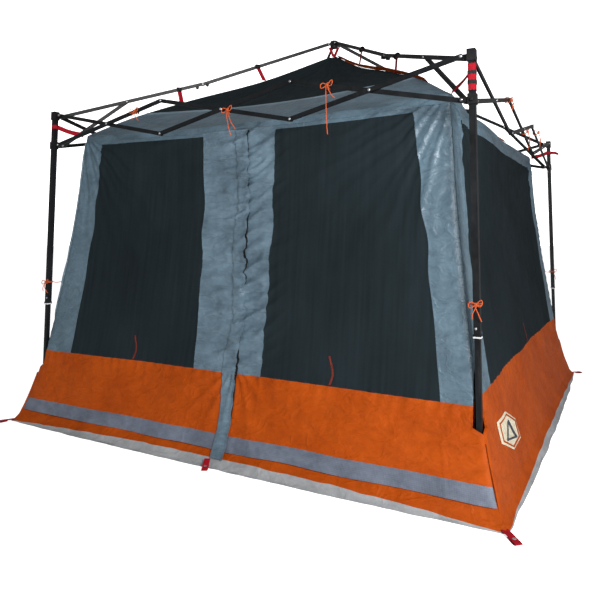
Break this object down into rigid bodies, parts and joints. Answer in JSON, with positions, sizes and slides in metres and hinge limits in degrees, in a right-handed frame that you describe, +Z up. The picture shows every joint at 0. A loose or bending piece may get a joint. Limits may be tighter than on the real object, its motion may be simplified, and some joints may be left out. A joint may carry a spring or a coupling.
{
  "type": "pop up tent",
  "caption": "Cabin tent hung inside a folding scissor-truss frame on telescopic legs, with mesh walls, two zipped front doors and a low pyramid roof.",
  "frame": {"origin": "on the ground under the middle of the frame", "axes": "+Z up, the two doors face -Y, +X to the right of someone who faces the doors"},
  "size_m": [3.17, 3.17, 2.798],
  "materials": {
    "steel": "satin black powder coat",
    "bracket": "moulded, fine grain",
    "mesh_fabric": "fine black insect netting",
    "shell_fabric": "woven slate polyester, soft sheen",
    "groundsheet": "coated woven groundsheet"
  },
  "bodies": {
    "frame": {"leg_outer_fl": "steel", "cap_fl": "bracket", "wall_left": "mesh_fabric", "floor": "groundsheet"},
    "leg_fr": {"leg_outer_fr": "steel", "cap_fr": "bracket", "wall_right": "mesh_fabric"},
    "leg_bl": {"leg_outer_bl": "steel", "cap_bl": "bracket", "wall_back": "mesh_fabric"},
    "leg_br": {"leg_outer_br": "steel", "cap_br": "bracket"},
    "foot_fl": {"leg_inner_fl": "steel"},
    "slider_fl": {"slider_fl": "bracket"},
    "rafter_lower_fl": {"rafter_lower_fl": "steel"},
    "rafter_upper_fl": {"rafter_upper_fl": "steel"},
    "strut_fl": {"strut_fl": "steel"},
    "foot_fr": {"leg_inner_fr": "steel"},
    "slider_fr": {"slider_fr": "bracket"},
    "rafter_lower_fr": {"rafter_lower_fr": "steel"},
    "rafter_upper_fr": {"rafter_upper_fr": "steel"},
    "strut_fr": {"strut_fr": "steel"},
    "foot_br": {"leg_inner_br": "steel"},
    "slider_br": {"slider_br": "bracket"},
    "rafter_lower_br": {"rafter_lower_br": "steel"},
    "rafter_upper_br": {"rafter_upper_br": "steel"},
    "strut_br": {"strut_br": "steel"},
    "foot_bl": {"leg_inner_bl": "steel"},
    "slider_bl": {"slider_bl": "bracket"},
    "rafter_lower_bl": {"rafter_lower_bl": "steel"},
    "rafter_upper_bl": {"rafter_upper_bl": "steel"},
    "strut_bl": {"strut_bl": "steel"},
    "hub": {"hub": "bracket", "roof": "shell_fabric"},
    "door_left": {"door_left": "mesh_fabric"},
    "door_right": {"door_right": "mesh_fabric"},
    "arm_front_1": {"arm_front_1": "steel"},
    "arm_front_2": {"arm_front_2": "steel"},
    "arm_front_3": {"arm_front_3": "steel"},
    "arm_front_4": {"arm_front_4": "steel"},
    "arm_front_5": {"arm_front_5": "steel"},
    "arm_front_6": {"arm_front_6": "steel"},
    "arm_left_1": {"arm_left_1": "steel"},
    "arm_left_2": {"arm_left_2": "steel"},
    "arm_left_3": {"arm_left_3": "steel"},
    "arm_left_4": {"arm_left_4": "steel"},
    "arm_left_5": {"arm_left_5": "steel"},
    "arm_left_6": {"arm_left_6": "steel"},
    "arm_right_1": {"arm_right_1": "steel"},
    "arm_right_2": {"arm_right_2": "steel"},
    "arm_right_3": {"arm_right_3": "steel"},
    "arm_right_4": {"arm_right_4": "steel"},
    "arm_right_5": {"arm_right_5": "steel"},
    "arm_right_6": {"arm_right_6": "steel"},
    "arm_back_1": {"arm_back_1": "steel"},
    "arm_back_2": {"arm_back_2": "steel"},
    "arm_back_3": {"arm_back_3": "steel"},
    "arm_back_4": {"arm_back_4": "steel"},
    "arm_back_5": {"arm_back_5": "steel"},
    "arm_back_6": {"arm_back_6": "steel"}
  },
  "joints": [
    {"name": "fold", "type": "hinge", "parent": "frame", "child": "arm_front_1", "pos_m": [-1.4, -1.45, 2.05], "axis": [0, 1, 0], "range_deg": [0, 70], "deforming": ["roof", "wall_left", "wall_right", "wall_back", "floor", "door_left", "door_right"]},
    {"name": "front_cross_1", "type": "hinge", "parent": "arm_front_1", "child": "arm_front_2", "pos_m": [-0.93333, -1.45, 1.9463], "axis": [0, 1, 0], "range_deg": [-141.5, 0.5]},
    {"name": "front_low_1", "type": "hinge", "parent": "arm_front_1", "child": "arm_front_3", "pos_m": [-0.46667, -1.45, 1.8426], "axis": [0, 1, 0], "range_deg": [-141.5, 0.5]},
    {"name": "front_cross_2", "type": "hinge", "parent": "arm_front_3", "child": "arm_front_4", "pos_m": [0, -1.45, 1.9463], "axis": [0, 1, 0], "range_deg": [-0.5, 141.5]},
    {"name": "front_top_2", "type": "hinge", "parent": "arm_front_3", "child": "arm_front_5", "pos_m": [0.46667, -1.45, 2.05], "axis": [0, 1, 0], "range_deg": [-0.5, 141.5]},
    {"name": "front_cross_3", "type": "hinge", "parent": "arm_front_5", "child": "arm_front_6", "pos_m": [0.93333, -1.45, 1.9463], "axis": [0, 1, 0], "range_deg": [-141.5, 0.5]},
    {"name": "front_cap_end", "type": "hinge", "parent": "arm_front_6", "child": "leg_fr", "pos_m": [1.4, -1.45, 2.05], "axis": [0, 1, 0], "range_deg": [-0.5, 71.5]},
    {"name": "slider_fl_pivot", "type": "hinge", "parent": "arm_front_2", "child": "slider_fl", "pos_m": [-1.4, -1.45, 1.8426], "axis": [0, 1, 0], "range_deg": [-0.5, 71.5]},
    {"name": "slider_fr_pivot", "type": "hinge", "parent": "arm_front_5", "child": "slider_fr", "pos_m": [1.4, -1.45, 1.8426], "axis": [0, 1, 0], "range_deg": [-71.5, 0.5]},
    {"name": "left_cap_start", "type": "hinge", "parent": "frame", "child": "arm_left_1", "pos_m": [-1.45, -1.4, 2.05], "axis": [-1, 0, 0], "range_deg": [-0.5, 71.5]},
    {"name": "left_cross_1", "type": "hinge", "parent": "arm_left_1", "child": "arm_left_2", "pos_m": [-1.45, -0.93333, 1.9463], "axis": [-1, 0, 0], "range_deg": [-141.5, 0.5]},
    {"name": "left_low_1", "type": "hinge", "parent": "arm_left_1", "child": "arm_left_3", "pos_m": [-1.45, -0.46667, 1.8426], "axis": [-1, 0, 0], "range_deg": [-141.5, 0.5]},
    {"name": "left_cross_2", "type": "hinge", "parent": "arm_left_3", "child": "arm_left_4", "pos_m": [-1.45, 0, 1.9463], "axis": [-1, 0, 0], "range_deg": [-0.5, 141.5]},
    {"name": "left_top_2", "type": "hinge", "parent": "arm_left_3", "child": "arm_left_5", "pos_m": [-1.45, 0.46667, 2.05], "axis": [-1, 0, 0], "range_deg": [-0.5, 141.5]},
    {"name": "left_cross_3", "type": "hinge", "parent": "arm_left_5", "child": "arm_left_6", "pos_m": [-1.45, 0.93333, 1.9463], "axis": [-1, 0, 0], "range_deg": [-141.5, 0.5]},
    {"name": "left_cap_end", "type": "hinge", "parent": "arm_left_6", "child": "leg_bl", "pos_m": [-1.45, 1.4, 2.05], "axis": [-1, 0, 0], "range_deg": [-0.5, 71.5]},
    {"name": "slider_bl_pivot", "type": "hinge", "parent": "arm_left_5", "child": "slider_bl", "pos_m": [-1.45, 1.4, 1.8426], "axis": [-1, 0, 0], "range_deg": [-71.5, 0.5]},
    {"name": "right_cap_start", "type": "hinge", "parent": "leg_fr", "child": "arm_right_1", "pos_m": [1.45, -1.4, 2.05], "axis": [-1, 0, 0], "range_deg": [-0.5, 71.5]},
    {"name": "right_cross_1", "type": "hinge", "parent": "arm_right_1", "child": "arm_right_2", "pos_m": [1.45, -0.93333, 1.9463], "axis": [-1, 0, 0], "range_deg": [-141.5, 0.5]},
    {"name": "right_low_1", "type": "hinge", "parent": "arm_right_1", "child": "arm_right_3", "pos_m": [1.45, -0.46667, 1.8426], "axis": [-1, 0, 0], "range_deg": [-141.5, 0.5]},
    {"name": "right_cross_2", "type": "hinge", "parent": "arm_right_3", "child": "arm_right_4", "pos_m": [1.45, 0, 1.9463], "axis": [-1, 0, 0], "range_deg": [-0.5, 141.5]},
    {"name": "right_top_2", "type": "hinge", "parent": "arm_right_3", "child": "arm_right_5", "pos_m": [1.45, 0.46667, 2.05], "axis": [-1, 0, 0], "range_deg": [-0.5, 141.5]},
    {"name": "right_cross_3", "type": "hinge", "parent": "arm_right_5", "child": "arm_right_6", "pos_m": [1.45, 0.93333, 1.9463], "axis": [-1, 0, 0], "range_deg": [-141.5, 0.5]},
    {"name": "right_cap_end", "type": "hinge", "parent": "arm_right_6", "child": "leg_br", "pos_m": [1.45, 1.4, 2.05], "axis": [-1, 0, 0], "range_deg": [-0.5, 71.5]},
    {"name": "slider_br_pivot", "type": "hinge", "parent": "arm_right_5", "child": "slider_br", "pos_m": [1.45, 1.4, 1.8426], "axis": [-1, 0, 0], "range_deg": [-71.5, 0.5]},
    {"name": "back_cap_start", "type": "hinge", "parent": "leg_bl", "child": "arm_back_1", "pos_m": [-1.4, 1.45, 2.05], "axis": [0, 1, 0], "range_deg": [-0.5, 71.5]},
    {"name": "back_cross_1", "type": "hinge", "parent": "arm_back_1", "child": "arm_back_2", "pos_m": [-0.93333, 1.45, 1.9463], "axis": [0, 1, 0], "range_deg": [-141.5, 0.5]},
    {"name": "back_low_1", "type": "hinge", "parent": "arm_back_1", "child": "arm_back_3", "pos_m": [-0.46667, 1.45, 1.8426], "axis": [0, 1, 0], "range_deg": [-141.5, 0.5]},
    {"name": "back_cross_2", "type": "hinge", "parent": "arm_back_3", "child": "arm_back_4", "pos_m": [0, 1.45, 1.9463], "axis": [0, 1, 0], "range_deg": [-0.5, 141.5]},
    {"name": "back_top_2", "type": "hinge", "parent": "arm_back_3", "child": "arm_back_5", "pos_m": [0.46667, 1.45, 2.05], "axis": [0, 1, 0], "range_deg": [-0.5, 141.5]},
    {"name": "back_cross_3", "type": "hinge", "parent": "arm_back_5", "child": "arm_back_6", "pos_m": [0.93333, 1.45, 1.9463], "axis": [0, 1, 0], "range_deg": [-141.5, 0.5]},
    {"name": "rafter_foot_fl", "type": "hinge", "parent": "frame", "child": "rafter_lower_fl", "pos_m": [-1.41111, -1.41111, 2.05], "axis": [-0.7071, 0.7071, 0], "range_deg": [-0.5, 95.5]},
    {"name": "strut_fl_pivot", "type": "hinge", "parent": "rafter_lower_fl", "child": "strut_fl", "pos_m": [-1.11864, -1.11864, 2.18439], "axis": [-0.7071, 0.7071, 0], "range_deg": [-134.62, 0.5]},
    {"name": "rafter_knee_fl", "type": "hinge", "parent": "rafter_lower_fl", "child": "rafter_upper_fl", "pos_m": [-0.73861, -0.73861, 2.35902], "axis": [-0.7071, 0.7071, 0], "range_deg": [-163.71, 0.5]},
    {"name": "rafter_hub_fl", "type": "hinge", "parent": "rafter_upper_fl", "child": "hub", "pos_m": [-0.03535, -0.03535, 2.77], "axis": [-0.7071, 0.7071, 0], "range_deg": [-0.5, 69.71]},
    {"name": "rafter_foot_fr", "type": "hinge", "parent": "leg_fr", "child": "rafter_lower_fr", "pos_m": [1.41111, -1.41111, 2.05], "axis": [-0.7071, -0.7071, 0], "range_deg": [-0.5, 95.5]},
    {"name": "strut_fr_pivot", "type": "hinge", "parent": "rafter_lower_fr", "child": "strut_fr", "pos_m": [1.11864, -1.11864, 2.18439], "axis": [-0.7071, -0.7071, 0], "range_deg": [-134.62, 0.5]},
    {"name": "rafter_hub_fr", "type": "hinge", "parent": "hub", "child": "rafter_upper_fr", "pos_m": [0.03535, -0.03535, 2.77], "axis": [-0.7071, -0.7071, 0], "range_deg": [-69.71, 0.5]},
    {"name": "rafter_foot_br", "type": "hinge", "parent": "leg_br", "child": "rafter_lower_br", "pos_m": [1.41111, 1.41111, 2.05], "axis": [0.7071, -0.7071, 0], "range_deg": [-0.5, 95.5]},
    {"name": "strut_br_pivot", "type": "hinge", "parent": "rafter_lower_br", "child": "strut_br", "pos_m": [1.11864, 1.11864, 2.18439], "axis": [0.7071, -0.7071, 0], "range_deg": [-134.62, 0.5]},
    {"name": "rafter_hub_br", "type": "hinge", "parent": "hub", "child": "rafter_upper_br", "pos_m": [0.03535, 0.03535, 2.77], "axis": [0.7071, -0.7071, 0], "range_deg": [-69.71, 0.5]},
    {"name": "rafter_foot_bl", "type": "hinge", "parent": "leg_bl", "child": "rafter_lower_bl", "pos_m": [-1.41111, 1.41111, 2.05], "axis": [0.7071, 0.7071, 0], "range_deg": [-0.5, 95.5]},
    {"name": "strut_bl_pivot", "type": "hinge", "parent": "rafter_lower_bl", "child": "strut_bl", "pos_m": [-1.11864, 1.11864, 2.18439], "axis": [0.7071, 0.7071, 0], "range_deg": [-134.62, 0.5]},
    {"name": "rafter_hub_bl", "type": "hinge", "parent": "hub", "child": "rafter_upper_bl", "pos_m": [-0.03535, 0.03535, 2.77], "axis": [0.7071, 0.7071, 0], "range_deg": [-69.71, 0.5]},
    {"name": "leg_fl_slide", "type": "slide", "parent": "frame", "child": "foot_fl", "axis": [0, 0, 1], "range_m": [0, 0.5]},
    {"name": "leg_fr_slide", "type": "slide", "parent": "leg_fr", "child": "foot_fr", "axis": [0, 0, 1], "range_m": [0, 0.5]},
    {"name": "leg_br_slide", "type": "slide", "parent": "leg_br", "child": "foot_br", "axis": [0, 0, 1], "range_m": [0, 0.5]},
    {"name": "leg_bl_slide", "type": "slide", "parent": "leg_bl", "child": "foot_bl", "axis": [0, 0, 1], "range_m": [0, 0.5]},
    {"name": "door_left_swing", "type": "hinge", "parent": "frame", "child": "door_left", "pos_m": [-1.53, -1.53, 0.04], "axis": [-0.1184, -0.1184, -0.9859], "range_deg": [0, 110]},
    {"name": "door_right_swing", "type": "hinge", "parent": "leg_fr", "child": "door_right", "pos_m": [1.53, -1.53, 0.04], "axis": [-0.1184, 0.1184, 0.9859], "range_deg": [0, 110]}
  ],
  "couplings": [
    {"joint": "front_cross_1", "follows": "fold", "ratio": -2},
    {"joint": "front_low_1", "follows": "fold", "ratio": -2},
    {"joint": "front_cross_2", "follows": "fold", "ratio": 2},
    {"joint": "front_top_2", "follows": "fold", "ratio": 2},
    {"joint": "front_cross_3", "follows": "fold", "ratio": -2},
    {"joint": "front_cap_end", "follows": "fold", "ratio": 1},
    {"joint": "slider_fl_pivot", "follows": "fold", "ratio": 1},
    {"joint": "slider_fr_pivot", "follows": "fold", "ratio": -1},
    {"joint": "left_cap_start", "follows": "fold", "ratio": 1},
    {"joint": "left_cross_1", "follows": "fold", "ratio": -2},
    {"joint": "left_low_1", "follows": "fold", "ratio": -2},
    {"joint": "left_cross_2", "follows": "fold", "ratio": 2},
    {"joint": "left_top_2", "follows": "fold", "ratio": 2},
    {"joint": "left_cross_3", "follows": "fold", "ratio": -2},
    {"joint": "left_cap_end", "follows": "fold", "ratio": 1},
    {"joint": "slider_bl_pivot", "follows": "fold", "ratio": -1},
    {"joint": "right_cap_start", "follows": "fold", "ratio": 1},
    {"joint": "right_cross_1", "follows": "fold", "ratio": -2},
    {"joint": "right_low_1", "follows": "fold", "ratio": -2},
    {"joint": "right_cross_2", "follows": "fold", "ratio": 2},
    {"joint": "right_top_2", "follows": "fold", "ratio": 2},
    {"joint": "right_cross_3", "follows": "fold", "ratio": -2},
    {"joint": "right_cap_end", "follows": "fold", "ratio": 1},
    {"joint": "slider_br_pivot", "follows": "fold", "ratio": -1},
    {"joint": "back_cap_start", "follows": "fold", "ratio": 1},
    {"joint": "back_cross_1", "follows": "fold", "ratio": -2},
    {"joint": "back_low_1", "follows": "fold", "ratio": -2},
    {"joint": "back_cross_2", "follows": "fold", "ratio": 2},
    {"joint": "back_top_2", "follows": "fold", "ratio": 2},
    {"joint": "back_cross_3", "follows": "fold", "ratio": -2},
    {"joint": "rafter_foot_fl", "follows": "fold", "ratio": 1.3429},
    {"joint": "strut_fl_pivot", "follows": "fold", "ratio": -1.9017},
    {"joint": "rafter_knee_fl", "follows": "fold", "ratio": -2.3173},
    {"joint": "rafter_hub_fl", "follows": "fold", "ratio": 0.97446},
    {"joint": "rafter_foot_fr", "follows": "fold", "ratio": 1.3429},
    {"joint": "strut_fr_pivot", "follows": "fold", "ratio": -1.9017},
    {"joint": "rafter_hub_fr", "follows": "fold", "ratio": -0.97446},
    {"joint": "rafter_foot_br", "follows": "fold", "ratio": 1.3429},
    {"joint": "strut_br_pivot", "follows": "fold", "ratio": -1.9017},
    {"joint": "rafter_hub_br", "follows": "fold", "ratio": -0.97446},
    {"joint": "rafter_foot_bl", "follows": "fold", "ratio": 1.3429},
    {"joint": "strut_bl_pivot", "follows": "fold", "ratio": -1.9017},
    {"joint": "rafter_hub_bl", "follows": "fold", "ratio": -0.97446}
  ]
}
